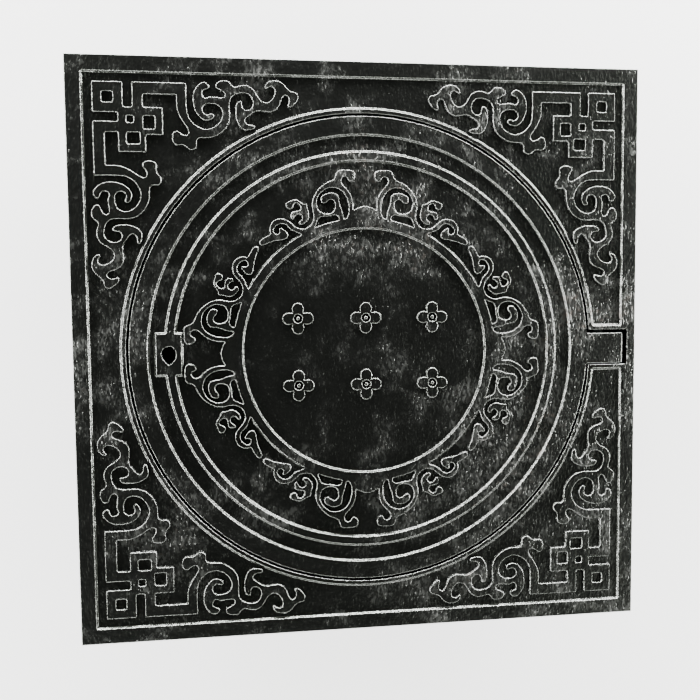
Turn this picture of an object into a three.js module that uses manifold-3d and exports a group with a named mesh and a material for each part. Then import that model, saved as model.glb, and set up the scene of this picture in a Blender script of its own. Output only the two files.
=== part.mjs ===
// A hinged manhole cover: a round ductile iron cover in a square ductile iron frame.
// The cover's tongue swings on a pin in a pocket of the frame, its rim rests on a rubber
// gasket, and a key through the keyhole turns a latch arm out under the frame's ledge.
// Millimetres, +Z up. The origin is the middle of the frame's base. +X points to the hinge.
import * as THREE from 'three';
import { mergeVertices } from 'three/addons/utils/BufferGeometryUtils.js';
import Module from 'manifold-3d';

const wasm = await Module();
wasm.setup();

// ---- Driving dimensions ----
const SIDE = 800; // outer side of the square frame
const HEIGHT = 100; // base to raised top
const RELIEF = 4; // how far borders, bands and rims stand above the fields
const FIELD = HEIGHT - RELIEF;
const DRAFT = 1; // a raised edge leans this far either way of its nominal line
const GAP = 0.3; // between pieces that touch
const OVER = 1; // how far joined parts reach into each other, and cutting tools beyond the metal
const FACETS = 96; // of a large circle

// Frame casting
const BORDER_WIDTH = 21.5;
const TOP_PLATE = 9;
const PLATE_UNDER = FIELD - TOP_PLATE;
const APRON = { thickness: 10, bottom: 68 };
const SEAT_RADIUS = 330;
const LIP_RADIUS = 337;
const SEAT_WALL = 342;
const OPENING_RADIUS = 300;
const LEDGE = { top: 54, bottom: 42 };
const SKIRT = { inner: 320, outer: 332 };
const BASE = { radius: 375, thickness: 12 };
const GUSSET = { count: 16, thickness: 9, root: 325, foot: 372, tip: 72 }; // tip: its underside at the apron
const ANCHOR_HOLE = { count: 8, radius: 11, circle: 353, facets: 20 };

// Cover casting. Below its land the rim leans in to the waist, so that it clears the seat as it swings.
const COVER_RADIUS = 326.5;
const RIM = { inner: 301, skirt: 306, foot: 60, land: 97, waist: 86, side: 322.5 };
const COVER_UNDER = 84;
const INNER_BAND = [172.6, 185.7];
const OUTER_BAND = [265.7, 278.3];
const COVER_HUB = { radius: 34, bottom: 46 };
const COVER_RIB = { count: 8, thickness: 10, deep: 46, shallow: 62 };
const RING_RIBS = [{ inner: 115, outer: 125, bottom: 52 }, { inner: 215, outer: 225, bottom: 56 }];

// Hinge: a pin along Y through the tongue and the cheeks of the frame's pocket
const PIN = { x: 352, z: 80, radius: 6, halfLength: 47 };
const SLOT_HALF = 25.5;
const SLOT_END = 388;
const SLOT_LIP = 32;
const POCKET = { cheek: 37, floor: 42, bottom: 32, drain: 6, drainX: 366 };
const TONGUE = { half: 22, shift: -1.5, reach: 34.4, boss: 14, root: 304, under: 64, heel: 66 };
const SWING = { radius: 32.5, half: 52 }; // cut back beside the tongue, so that the rim swings clear
const SPLIT_PIN = { y: 41.5, wire: 0.9, hole: 2.4, eye: 3.2, length: 11, bend: 2.6, spread: 4.6 };

// Rubber seat
const GASKET = { inner: 307, outer: 320 };

// Keyhole and latch, on one upright axis
const KEY_X = -273;
const KEY_PAD = { halfX: 18, halfY: 29 };
const KEYHOLE = { halfWidth: 9.8, top: 11, bottom: 14.6 };
const LATCH = { flange: 19, neck: 13, heel: 16, arm: 42, armHalf: 12, armTop: 40, armBottom: 30 };
const LATCH_FLANGE = { top: 83.5, bottom: 78.5 };
const LATCH_BOSS = { radius: 26, bottom: 74, pocket: 19.5 };
const KEY_SLOT = { halfX: 4, halfY: 9, bottom: 60 };
const STOP_PIN = { radius: 2.5, circle: 17, angle: Math.PI / 4, bottom: 78.9, top: 91 };
const LATCH_SPRING = { inner: 13.8, outer: 18.8, thickness: 1.6 };
const RETAINER = { thickness: 5, radius: 24, ear: 12, hole: 13.5 };
const LATCH_BOLT = { y: 38, radius: 4, flats: 13, head: 5.3, boss: 11, top: 81, holeTop: 83 };
const WASHER = { outer: 7.4, thickness: 2 };

// ---- Solids ----
// A closed three.js geometry as a solid. Shared vertices are merged and flat triangles dropped.
function solid(geometry) {
  const bare = geometry.index ? geometry.clone() : geometry;
  bare.deleteAttribute('normal');
  bare.deleteAttribute('uv');
  const merged = mergeVertices(bare, 1e-4);
  const index = merged.index.array;
  const corners = [];
  for (let i = 0; i < index.length; i += 3) {
    const [a, b, c] = [index[i], index[i + 1], index[i + 2]];
    if (a !== b && b !== c && c !== a) corners.push(a, b, c);
  }
  const vertProperties = Float32Array.from(merged.attributes.position.array);
  const build = (triVerts) => new wasm.Manifold(new wasm.Mesh({ numProp: 3, vertProperties, triVerts }));
  const outward = build(Uint32Array.from(corners));
  return outward.volume() > 0 ? outward : build(Uint32Array.from(corners).reverse());
}

const join = (...parts) => parts.reduce((whole, part) => whole.add(part));
const cut = (whole, ...tools) => tools.reduce((rest, tool) => rest.subtract(tool), whole);

function block(x0, x1, y0, y1, z0, z1) {
  const box = new THREE.BoxGeometry(x1 - x0, y1 - y0, z1 - z0);
  return solid(box.translate((x0 + x1) / 2, (y0 + y1) / 2, (z0 + z1) / 2));
}

function disc(radius, z0, z1, { x = 0, y = 0, facets = FACETS } = {}) {
  const cylinder = new THREE.CylinderGeometry(radius, radius, z1 - z0, facets);
  return solid(cylinder.rotateX(Math.PI / 2).translate(x, y, (z0 + z1) / 2));
}

// A turned ring: its profile is a closed loop of [radius, z] points.
function turned(profile, { x = 0, y = 0, facets = FACETS } = {}) {
  const loop = [...profile, profile[0]].map(([r, z]) => new THREE.Vector2(r, z));
  return solid(new THREE.LatheGeometry(loop, facets).rotateX(Math.PI / 2).translate(x, y, 0));
}

function ring(inner, outer, z0, z1, options) {
  return turned([[inner, z0], [outer, z0], [outer, z1], [inner, z1]], options);
}

// An outline in X and Y, raised from z0 to z1.
function raised(shape, z0, z1, curveSegments = 8) {
  const settings = { depth: z1 - z0, bevelEnabled: false, curveSegments };
  return solid(new THREE.ExtrudeGeometry(shape, settings).translate(0, 0, z0));
}

// An outline of [x, z] points, as thick as from y0 to y1.
function plateAlongX(outline, y0, y1) {
  const shape = new THREE.Shape(outline.map(([x, z]) => new THREE.Vector2(x, z)));
  const settings = { depth: y1 - y0, bevelEnabled: false };
  return solid(new THREE.ExtrudeGeometry(shape, settings).rotateX(Math.PI / 2).translate(0, y1, 0));
}

// A round bar or bore along Y.
function barAlongY(radius, y0, y1, { x = PIN.x, z = PIN.z, facets = 24 } = {}) {
  const cylinder = new THREE.CylinderGeometry(radius, radius, y1 - y0, facets);
  return solid(cylinder.translate(x, (y0 + y1) / 2, z));
}

// A raised ring on a field, between the bottom z0 and the raised top, with leaning sides.
function raisedRing(inner, outer, z0) {
  return turned([
    [inner - DRAFT, z0], [outer + DRAFT, z0], [outer + DRAFT, FIELD],
    [outer - DRAFT, HEIGHT], [inner + DRAFT, HEIGHT], [inner - DRAFT, FIELD],
  ]);
}

// A raised pad on a field, with leaning sides. A positive lean narrows it upwards.
function raisedPad(x0, x1, y0, y1, lean = DRAFT) {
  const pad = new THREE.BoxGeometry(1, 1, RELIEF);
  const position = pad.attributes.position;
  for (let i = 0; i < position.count; i += 1) {
    const grow = position.getZ(i) > 0 ? -lean : lean;
    const x = position.getX(i) < 0 ? x0 - grow : x1 + grow;
    const y = position.getY(i) < 0 ? y0 - grow : y1 + grow;
    position.setXYZ(i, x, y, position.getZ(i) + FIELD + RELIEF / 2);
  }
  return solid(pad);
}

function turnAboutZ(part, angle) {
  return part.rotate([0, 0, THREE.MathUtils.radToDeg(angle)]);
}

// Points on an arc about the hinge pin, in X and Z, angles in degrees.
function arcAboutPin(radius, from, to, steps) {
  return Array.from({ length: steps + 1 }, (_, i) => {
    const angle = THREE.MathUtils.degToRad(from + ((to - from) * i) / steps);
    return [PIN.x + radius * Math.cos(angle), PIN.z + radius * Math.sin(angle)];
  });
}

// ---- Frame ----
// One gusset: a web from the skirt to the apron, sloping up from the base flange.
function gusset(angle) {
  const { root, foot, tip, thickness } = GUSSET;
  const share = Math.max(Math.abs(Math.cos(angle)), Math.abs(Math.sin(angle)));
  const reach = (SIDE / 2 - APRON.thickness / 2) / share;
  const low = BASE.thickness / 2;
  const high = PLATE_UNDER + OVER;
  const web = [[root, low], [foot, low], [foot, BASE.thickness], [reach, tip], [reach, high], [root, high]];
  return turnAboutZ(plateAlongX(web, -thickness / 2, thickness / 2), angle);
}

function anchorHole(index) {
  const angle = ((index + 0.5) * 2 * Math.PI) / ANCHOR_HOLE.count + Math.PI / GUSSET.count;
  const { circle, facets } = ANCHOR_HOLE;
  const place = { x: circle * Math.cos(angle), y: circle * Math.sin(angle), facets };
  return disc(ANCHOR_HOLE.radius, -OVER, BASE.thickness + OVER, place);
}

function makeFrame() {
  const half = SIDE / 2;
  const field = half - BORDER_WIDTH;
  const apron = half - APRON.thickness;
  const gussets = Array.from({ length: GUSSET.count - 1 }, (_, i) =>
    gusset(((i + 1) * 2 * Math.PI) / GUSSET.count));
  const anchorHoles = Array.from({ length: ANCHOR_HOLE.count }, (_, i) => anchorHole(i));
  const casting = join(
    cut(
      block(-half, half, -half, half, APRON.bottom, HEIGHT),
      block(-apron, apron, -apron, apron, APRON.bottom - OVER, PLATE_UNDER),
      raisedPad(-field, field, -field, field, -DRAFT),
    ),
    raisedRing(SEAT_RADIUS - 2 * DRAFT, LIP_RADIUS, PLATE_UNDER + OVER),
    ring(OPENING_RADIUS, SEAT_WALL, LEDGE.bottom, PLATE_UNDER + OVER),
    ring(SKIRT.inner, SKIRT.outer, 0, LEDGE.bottom + OVER),
    ring(SKIRT.inner + OVER, BASE.radius, 0, BASE.thickness),
    block(SEAT_RADIUS, half, -POCKET.cheek, POCKET.cheek, POCKET.bottom, PLATE_UNDER + OVER),
    raisedPad(SEAT_RADIUS, field + BORDER_WIDTH / 2, -SLOT_LIP, SLOT_LIP),
    ...gussets,
  );
  return cut(
    casting,
    disc(SEAT_RADIUS, LEDGE.top, HEIGHT + OVER),
    block(SEAT_WALL, SLOT_END, -SLOT_HALF, SLOT_HALF, POCKET.floor, HEIGHT + OVER),
    block(SEAT_RADIUS - SLOT_HALF, SEAT_WALL + OVER, -SLOT_HALF, SLOT_HALF, LEDGE.top, HEIGHT + OVER),
    barAlongY(PIN.radius + GAP, -POCKET.cheek - OVER, POCKET.cheek + OVER),
    disc(POCKET.drain, POCKET.bottom - OVER, POCKET.floor + OVER, { x: POCKET.drainX, facets: 16 }),
    ...anchorHoles,
  );
}

// ---- Cover ----
// The tongue reaches over the pin and is round at its end, so that it clears the slot as it turns.
function tongue() {
  const depth = HEIGHT - PIN.z;
  const shoulder = THREE.MathUtils.radToDeg(Math.asin(depth / TONGUE.reach));
  const outline = [
    [TONGUE.root, HEIGHT],
    ...arcAboutPin(TONGUE.reach, shoulder, 5, 6),
    ...arcAboutPin(TONGUE.boss, -50, -130, 5),
    [COVER_RADIUS, TONGUE.heel], [TONGUE.root, TONGUE.under],
  ];
  return plateAlongX(outline, TONGUE.shift - TONGUE.half, TONGUE.shift + TONGUE.half);
}

// A radial rib, deep at the hub and shallow at the rim.
function coverRib(angle, end) {
  const start = COVER_HUB.radius - COVER_RIB.thickness / 2 - OVER;
  const slope = (COVER_RIB.shallow - COVER_RIB.deep) / (RIM.skirt - start);
  const web = [
    [start, COVER_UNDER + OVER], [start, COVER_RIB.deep],
    [end, COVER_RIB.deep + slope * (end - start)], [end, COVER_UNDER + OVER],
  ];
  return turnAboutZ(plateAlongX(web, -COVER_RIB.thickness / 2, COVER_RIB.thickness / 2), angle);
}

// The keyhole is round at its top and runs to a blunt point at its bottom. It is a little lopsided,
// as its curves' control points are at uneven shares of its size.
function keyholeShape() {
  const { halfWidth, top, bottom } = KEYHOLE;
  const shape = new THREE.Shape();
  shape.moveTo(KEY_X, -bottom);
  shape.quadraticCurveTo(KEY_X + halfWidth * 1.1, -bottom * 0.5, KEY_X + halfWidth, 1);
  shape.quadraticCurveTo(KEY_X + halfWidth * 0.8, top, KEY_X, top);
  shape.quadraticCurveTo(KEY_X - halfWidth * 0.9, top * 0.9, KEY_X - halfWidth, 1);
  shape.quadraticCurveTo(KEY_X - halfWidth, -bottom * 0.4, KEY_X, -bottom);
  return shape;
}

// Where a latch bolt stands: side is -1 for the front one and 1 for the rear one.
function boltPlace(side, facets) {
  return { x: KEY_X, y: side * LATCH_BOLT.y, facets };
}

function makeCover() {
  const ribs = Array.from({ length: COVER_RIB.count }, (_, i) => {
    const facesLatch = i === COVER_RIB.count / 2;
    const end = facesLatch ? RING_RIBS[1].outer : RIM.skirt;
    return coverRib((i * 2 * Math.PI) / COVER_RIB.count, end + (facesLatch ? -OVER : OVER));
  });
  const rim = [
    [RIM.skirt, RIM.foot], [RIM.side, RIM.foot], [RIM.side, RIM.waist], [COVER_RADIUS, RIM.land],
    [COVER_RADIUS, HEIGHT],
    [RIM.inner + DRAFT, HEIGHT], [RIM.inner - DRAFT, FIELD], [RIM.inner - DRAFT, COVER_UNDER],
    [RIM.skirt, COVER_UNDER],
  ];
  const swing = join(
    barAlongY(SWING.radius, -SWING.half, SWING.half, { facets: 48 }),
    block(PIN.x - SWING.radius, PIN.x, -SWING.half, SWING.half, RIM.foot - OVER, PIN.z),
  );
  const casting = join(
    disc(RIM.inner + DRAFT / 2, COVER_UNDER, FIELD),
    turned(rim).subtract(swing),
    raisedRing(...INNER_BAND, COVER_UNDER + OVER),
    raisedRing(...OUTER_BAND, COVER_UNDER + OVER),
    raisedPad(KEY_X - KEY_PAD.halfX, KEY_X + KEY_PAD.halfX, -KEY_PAD.halfY, KEY_PAD.halfY),
    disc(COVER_HUB.radius, COVER_HUB.bottom, COVER_UNDER + OVER, { facets: 32 }),
    ...RING_RIBS.map((rib) => ring(rib.inner, rib.outer, rib.bottom, COVER_UNDER + OVER)),
    ...ribs,
    disc(LATCH_BOSS.radius, LATCH_BOSS.bottom, COVER_UNDER + OVER, { x: KEY_X, facets: 32 }),
    ...[-1, 1].map((side) =>
      disc(LATCH_BOLT.boss, LATCH_BOSS.bottom, COVER_UNDER + OVER, boltPlace(side, 20))),
    tongue(),
  );
  return cut(
    casting,
    disc(LATCH_BOSS.pocket, LATCH_BOSS.bottom - OVER, COVER_UNDER, { x: KEY_X, facets: 32 }),
    raised(keyholeShape(), COVER_UNDER - OVER, HEIGHT + OVER, 5),
    disc(STOP_PIN.radius + GAP, COVER_UNDER - OVER, STOP_PIN.top + GAP, { ...stopPinPlace(), facets: 12 }),
    ...[-1, 1].map((side) =>
      disc(LATCH_BOLT.radius + GAP, LATCH_BOSS.bottom - OVER, LATCH_BOLT.holeTop, boltPlace(side, 16))),
    barAlongY(PIN.radius + GAP, -SLOT_HALF, SLOT_HALF),
  );
}

// ---- Hinge pin and its split pins ----
function makeHingePin() {
  const { halfLength, radius } = PIN;
  const taper = 1.2;
  const profile = [
    [0, -halfLength], [radius - taper, -halfLength], [radius, -halfLength + taper],
    [radius, halfLength - taper], [radius - taper, halfLength], [0, halfLength],
  ].map(([r, y]) => new THREE.Vector2(r, y));
  const bar = solid(new THREE.LatheGeometry(profile, 24).translate(PIN.x, 0, PIN.z));
  const crossHole = (y) => {
    const drill = new THREE.CylinderGeometry(SPLIT_PIN.hole, SPLIT_PIN.hole, 4 * radius, 12);
    return solid(drill.rotateZ(Math.PI / 2).translate(PIN.x, y, PIN.z));
  };
  return cut(bar, crossHole(-SPLIT_PIN.y), crossHole(SPLIT_PIN.y));
}

// One bent wire: two legs side by side through the pin, spread at the ends, joined by an eye.
function makeSplitPin(side) {
  const { wire, eye, length, bend, spread, y } = SPLIT_PIN;
  const legs = wire + 0.2;
  const eyeAt = PIN.radius + eye + OVER;
  const turns = 8;
  const loop = Array.from({ length: turns + 1 }, (_, i) => {
    const angle = THREE.MathUtils.degToRad(115 - (230 * i) / turns);
    return [eyeAt + eye * Math.cos(angle), eye * Math.sin(angle)];
  });
  const leg = [
    [-length, spread], [-length + bend, spread / 2], [-PIN.radius, legs], [0, legs], [PIN.radius, legs],
  ];
  const otherLeg = leg.map(([x, z]) => [x, -z]).reverse();
  const path = [...leg, ...loop, ...otherLeg].map(([x, z]) => new THREE.Vector3(x, z, 0));
  const section = new THREE.Shape().absarc(0, 0, wire, 0, 2 * Math.PI);
  const extrudePath = new THREE.CatmullRomCurve3(path, false, 'centripetal');
  const bent = new THREE.ExtrudeGeometry(section, { steps: 44, extrudePath, curveSegments: 4 });
  bent.rotateX(Math.PI / 2);
  return solid(bent.translate(PIN.x, side * y, PIN.z));
}

// ---- Rubber seat ----
function makeGasket() {
  return ring(GASKET.inner, GASKET.outer, LEDGE.top + GAP, RIM.foot - GAP);
}

// ---- Latch under the keyhole ----
function stopPinPlace() {
  const { circle, angle } = STOP_PIN;
  return { x: KEY_X + circle * Math.cos(angle), y: circle * Math.sin(angle) };
}

// The flange hangs in the boss's pocket. Its notch and the stop pin let the arm turn a quarter turn.
function makeTurnLatch() {
  const { flange, neck, heel, arm, armHalf, armTop, armBottom } = LATCH;
  const bar = new THREE.Shape();
  bar.absarc(KEY_X, 0, heel, Math.PI, 2 * Math.PI);
  bar.lineTo(KEY_X + armHalf, arm - armHalf);
  bar.absarc(KEY_X, arm - armHalf, armHalf, 0, Math.PI);
  const slack = THREE.MathUtils.degToRad(12);
  const notch = new THREE.Shape();
  notch.absarc(KEY_X, 0, flange + OVER, -STOP_PIN.angle - slack, STOP_PIN.angle + slack);
  notch.absarc(KEY_X, 0, neck + 2 * GAP, STOP_PIN.angle + slack, -STOP_PIN.angle - slack, true);
  return cut(
    join(
      disc(flange, LATCH_FLANGE.bottom, LATCH_FLANGE.top, { x: KEY_X, facets: 32 }),
      disc(neck, armBottom + OVER, LATCH_FLANGE.bottom + OVER, { x: KEY_X, facets: 32 }),
      raised(bar, armBottom, armTop, 10),
    ),
    raised(notch, LATCH_FLANGE.bottom - OVER, LATCH_FLANGE.top + OVER, 8),
    block(KEY_X - KEY_SLOT.halfX, KEY_X + KEY_SLOT.halfX, -KEY_SLOT.halfY, KEY_SLOT.halfY,
      KEY_SLOT.bottom, LATCH_FLANGE.top + OVER),
  );
}

const RETAINER_TOP = LATCH_BOSS.bottom - GAP;
const RETAINER_BOTTOM = RETAINER_TOP - RETAINER.thickness;

// A steel strap with an ear for each bolt. The latch's flange and spring rest on it.
function makeRetainer() {
  const { y, radius } = LATCH_BOLT;
  return cut(
    join(
      disc(RETAINER.radius, RETAINER_BOTTOM, RETAINER_TOP, { x: KEY_X, facets: 32 }),
      block(KEY_X - RETAINER.ear, KEY_X + RETAINER.ear, -y, y, RETAINER_BOTTOM, RETAINER_TOP),
      ...[-1, 1].map((side) => disc(RETAINER.ear, RETAINER_BOTTOM, RETAINER_TOP, boltPlace(side, 20))),
    ),
    disc(RETAINER.hole, RETAINER_BOTTOM - OVER, RETAINER_TOP + OVER, { x: KEY_X, facets: 32 }),
    ...[-1, 1].map((side) =>
      disc(radius + GAP, RETAINER_BOTTOM - OVER, RETAINER_TOP + OVER, boltPlace(side, 20))),
  );
}

// A coned spring washer between the strap and the flange holds the latch where it is turned.
function makeLatchSpring() {
  const { inner, outer, thickness } = LATCH_SPRING;
  const [low, high] = [LATCH_BOSS.bottom, LATCH_FLANGE.bottom - GAP];
  const cone = [[inner, high - thickness], [outer, low], [outer, low + thickness], [inner, high]];
  return turned(cone, { x: KEY_X, facets: 32 });
}

const WASHER_TOP = RETAINER_BOTTOM - GAP;
const WASHER_BOTTOM = WASHER_TOP - WASHER.thickness;

function makeLatchWasher(side) {
  return ring(LATCH_BOLT.radius + GAP, WASHER.outer, WASHER_BOTTOM, WASHER_TOP, boltPlace(side, 24));
}

function makeLatchBolt(side) {
  const headTop = WASHER_BOTTOM - GAP;
  return join(
    disc(LATCH_BOLT.flats / Math.sqrt(3), headTop - LATCH_BOLT.head, headTop, boltPlace(side, 6)),
    disc(LATCH_BOLT.radius, headTop - OVER, LATCH_BOLT.top, boltPlace(side, 16)),
  );
}

function makeStopPin() {
  return disc(STOP_PIN.radius, STOP_PIN.bottom, STOP_PIN.top, { ...stopPinPlace(), facets: 12 });
}

// ---- Materials ----
const paintedIron = new THREE.MeshStandardMaterial({ color: 0x141613, roughness: 0.35, metalness: 0.4 });
const blackRubber = new THREE.MeshStandardMaterial({ color: 0x17181a, roughness: 0.85, metalness: 0 });
const galvanisedSteel = new THREE.MeshStandardMaterial({ color: 0x9a9d9e, roughness: 0.45, metalness: 0.9 });
const springSteel = new THREE.MeshStandardMaterial({ color: 0x4a4c50, roughness: 0.4, metalness: 0.9 });

// ---- Assembly ----
const manhole = new THREE.Group();

function place(name, part, material) {
  const { vertProperties, triVerts } = part.getMesh();
  const geometry = new THREE.BufferGeometry();
  geometry.setAttribute('position', new THREE.BufferAttribute(vertProperties, 3));
  geometry.setIndex(new THREE.BufferAttribute(triVerts, 1));
  geometry.computeVertexNormals();
  const mesh = new THREE.Mesh(geometry, material);
  mesh.name = name;
  manhole.add(mesh);
}

place('frame', makeFrame(), paintedIron);
place('seat_gasket', makeGasket(), blackRubber);
place('hinge_pin', makeHingePin(), galvanisedSteel);
place('split_pin_front', makeSplitPin(-1), galvanisedSteel);
place('split_pin_rear', makeSplitPin(1), galvanisedSteel);
place('cover', makeCover(), paintedIron);
place('turn_latch', makeTurnLatch(), paintedIron);
place('latch_spring', makeLatchSpring(), springSteel);
place('latch_retainer', makeRetainer(), galvanisedSteel);
place('latch_stop_pin', makeStopPin(), springSteel);
place('latch_washer_front', makeLatchWasher(-1), galvanisedSteel);
place('latch_washer_rear', makeLatchWasher(1), galvanisedSteel);
place('latch_bolt_front', makeLatchBolt(-1), galvanisedSteel);
place('latch_bolt_rear', makeLatchBolt(1), galvanisedSteel);

export default manhole;
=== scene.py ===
import math

import bmesh
import bpy
import numpy as np
from mathutils import Matrix, Vector, noise
from mathutils.geometry import tessellate_polygon


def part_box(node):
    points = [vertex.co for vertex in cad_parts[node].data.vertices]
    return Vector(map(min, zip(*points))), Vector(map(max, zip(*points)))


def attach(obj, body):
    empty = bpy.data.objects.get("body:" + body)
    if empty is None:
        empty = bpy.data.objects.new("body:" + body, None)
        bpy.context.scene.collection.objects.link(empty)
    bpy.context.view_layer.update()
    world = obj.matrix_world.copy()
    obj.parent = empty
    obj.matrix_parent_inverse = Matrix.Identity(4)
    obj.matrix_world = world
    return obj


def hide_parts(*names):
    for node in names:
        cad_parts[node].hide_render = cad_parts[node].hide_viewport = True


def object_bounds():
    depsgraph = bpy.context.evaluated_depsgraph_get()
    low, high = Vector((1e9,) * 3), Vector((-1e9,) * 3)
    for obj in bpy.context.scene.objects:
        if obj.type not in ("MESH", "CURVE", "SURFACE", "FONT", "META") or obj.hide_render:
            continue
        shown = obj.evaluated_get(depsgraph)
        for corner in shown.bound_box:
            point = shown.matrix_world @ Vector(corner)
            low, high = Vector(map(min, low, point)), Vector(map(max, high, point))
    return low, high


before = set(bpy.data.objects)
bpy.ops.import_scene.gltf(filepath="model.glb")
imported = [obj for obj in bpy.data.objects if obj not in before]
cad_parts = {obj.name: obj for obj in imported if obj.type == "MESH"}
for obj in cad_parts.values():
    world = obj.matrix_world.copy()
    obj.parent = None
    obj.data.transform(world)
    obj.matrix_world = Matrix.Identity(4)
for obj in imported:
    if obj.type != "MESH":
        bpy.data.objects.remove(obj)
cad_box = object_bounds()
MM = 0.001

# ---- Studio ----
# The manhole cover lies on a pale sheet that glows evenly, before a pale wall that is dark overhead.
# Soft boxes stand low in a ring round it, brightest at the rear and the rear right, so they catch its
# raised edges and not its flats.
FLOOR_SIZE = 60.0
FLOOR_DROP = 0.5 * MM  # of the sheet below the frame's foot
FLOOR_GLOW = 2.4
HORIZON_GLOW = 1.7
ZENITH_GLOW = 0.040
SKY_TINT = (0.96, 1.0, 0.91, 1.0)
SKY_FADE = (0.50, 0.85)  # the sines of the heights between which the pale wall fades out
RING_RADIUS = 2.2
RING_HEIGHT = 0.50
SOFTBOX = {"size": 1.65, "size_y": 0.40}
RING_WATTS = [180, 285, 340, 215, 145, 108, 45, 48]  # from the right, turning to the rear
CAMERA_PLACE = Vector((-0.167, 0.075, 1.212))
CAMERA_VIEW = Vector((0.128, -0.065, -0.990))
CAMERA_UP = Vector((0.018, 0.998, -0.063))
CAMERA_LENS = 41.1
SENSOR_WIDTH = 36.0


def link(name, data):
    """A new object at the origin that shows this mesh, curve, light or camera."""
    thing = bpy.data.objects.new(name, data)
    bpy.context.scene.collection.objects.link(thing)
    return thing


class Value:
    """The output of a node. A sum or product on it adds a Math node."""

    def __init__(self, nodes, socket):
        self.nodes = nodes
        self.socket = socket

    def other(self, output):
        """Another output of the same node."""
        return Value(self.nodes, self.socket.node.outputs[output])

    def maths(self, operation, *numbers):
        """The result of a Math node on these values and numbers."""
        inputs = dict(enumerate(numbers))
        return self.nodes.add("ShaderNodeMath", {"operation": operation}, inputs)

    def __add__(self, number):
        return self.maths("ADD", self, number)

    def __sub__(self, number):
        return self.maths("SUBTRACT", self, number)

    def __mul__(self, number):
        return self.maths("MULTIPLY", self, number)

    def __truediv__(self, number):
        return self.maths("DIVIDE", self, number)

    def __rsub__(self, number):
        return self.maths("SUBTRACT", number, self)

    __radd__ = __add__
    __rmul__ = __mul__

    def step(self, low, high):
        """0 below low, 1 above high, and a smooth rise between."""
        inputs = {"Value": self, "From Min": low, "From Max": high}
        return self.nodes.add("ShaderNodeMapRange", {"interpolation_type": "SMOOTHSTEP"}, inputs)


class Nodes:
    """A node tree that is being built. Any node comes from add()."""

    def __init__(self, tree):
        self.tree = tree
        tree.nodes.clear()

    def add(self, kind, settings=None, inputs=None, output=0):
        """Adds a node: its settings first, then the values or links of its sockets."""
        node = self.tree.nodes.new(kind)
        for name, setting in (settings or {}).items():
            setattr(node, name, setting)
        for name, value in (inputs or {}).items():
            if isinstance(value, Value):
                self.tree.links.new(value.socket, node.inputs[name])
            else:
                node.inputs[name].default_value = value
        return Value(self, node.outputs[output]) if node.outputs else None


class Finish(Nodes):
    """A procedural finish, read in object coordinates."""

    def __init__(self, name):
        self.material = bpy.data.materials.new(name)
        self.material.use_nodes = True
        super().__init__(self.material.node_tree)
        self.place = self.add("ShaderNodeTexCoord").other("Object")

    def noise(self, size, detail=2.0, roughness=0.5, distortion=0.0):
        """Soft noise from 0 to 1, whose lumps are about this size in metres."""
        inputs = {"Vector": self.place, "Scale": 1 / size, "Detail": detail,
                  "Roughness": roughness, "Distortion": distortion}
        return self.add("ShaderNodeTexNoise", {}, inputs)

    def blend(self, mask, low, high):
        """The colour low where mask is 0, and high where it is 1."""
        mix = {"data_type": "RGBA", "clamp_factor": True}
        return self.add("ShaderNodeMix", mix, {0: mask, 6: low, 7: high}, output=2)

    def bump(self, height, depth):
        """Normals for a height from 0 to 1 that stands this deep, in metres."""
        return self.add("ShaderNodeBump", {}, {"Height": height, "Strength": 1.0, "Distance": depth})

    def surface(self, **sockets):
        """The Principled surface, with its sockets' names written with underscores."""
        inputs = {name.replace("_", " "): value for name, value in sockets.items()}
        shader = self.add("ShaderNodeBsdfPrincipled", {}, inputs)
        self.add("ShaderNodeOutputMaterial", {}, {"Surface": shader})
        return self.material


def rgb(red, green, blue):
    """A colour with no transparency, in linear values."""
    return (red, green, blue, 1.0)


paper = Finish("pale_paper")
paper_tone = paper.noise(0.35, detail=3.0)
pale_paper = paper.surface(
    Base_Color=paper.blend(paper_tone, rgb(0.30, 0.30, 0.297), rgb(0.32, 0.32, 0.317)),
    Roughness=0.7, Emission_Color=rgb(1.0, 1.0, 0.99), Emission_Strength=FLOOR_GLOW)

floor_half = FLOOR_SIZE / 2
floor_mesh = bpy.data.meshes.new("floor")
floor_corners = [(-1, -1), (1, -1), (1, 1), (-1, 1)]
floor_level = cad_box[0].z - FLOOR_DROP
floor_mesh.from_pydata([(x * floor_half, y * floor_half, floor_level) for x, y in floor_corners],
                       [], [(0, 1, 2, 3)])
floor_mesh.materials.append(pale_paper)
link("floor", floor_mesh)

for number, watts in enumerate(RING_WATTS):
    bearing = 2 * math.pi * number / len(RING_WATTS)
    softbox = bpy.data.lights.new(f"softbox_{number}", "AREA")
    softbox.shape = "RECTANGLE"
    softbox.size = SOFTBOX["size"]
    softbox.size_y = SOFTBOX["size_y"]
    softbox.energy = watts
    lamp = link(softbox.name, softbox)
    lamp.location = (RING_RADIUS * math.cos(bearing), RING_RADIUS * math.sin(bearing), RING_HEIGHT)
    aim = Vector((0, 0, cad_box[1].z)) - lamp.location
    lamp.rotation_euler = aim.to_track_quat("-Z", "Y").to_euler()
    lamp.visible_camera = False

world = bpy.data.worlds.new("pale_wall")
world.use_nodes = True
bpy.context.scene.world = world
surroundings = Nodes(world.node_tree)
direction = surroundings.add("ShaderNodeTexCoord").other("Generated")
height = surroundings.add("ShaderNodeSeparateXYZ", {}, {"Vector": direction}).other("Z")
glow = (1 - height.step(*SKY_FADE)) * (HORIZON_GLOW - ZENITH_GLOW) + ZENITH_GLOW
sky = surroundings.add("ShaderNodeBackground", {}, {"Color": SKY_TINT, "Strength": glow})
surroundings.add("ShaderNodeOutputWorld", {}, {"Surface": sky})

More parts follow.
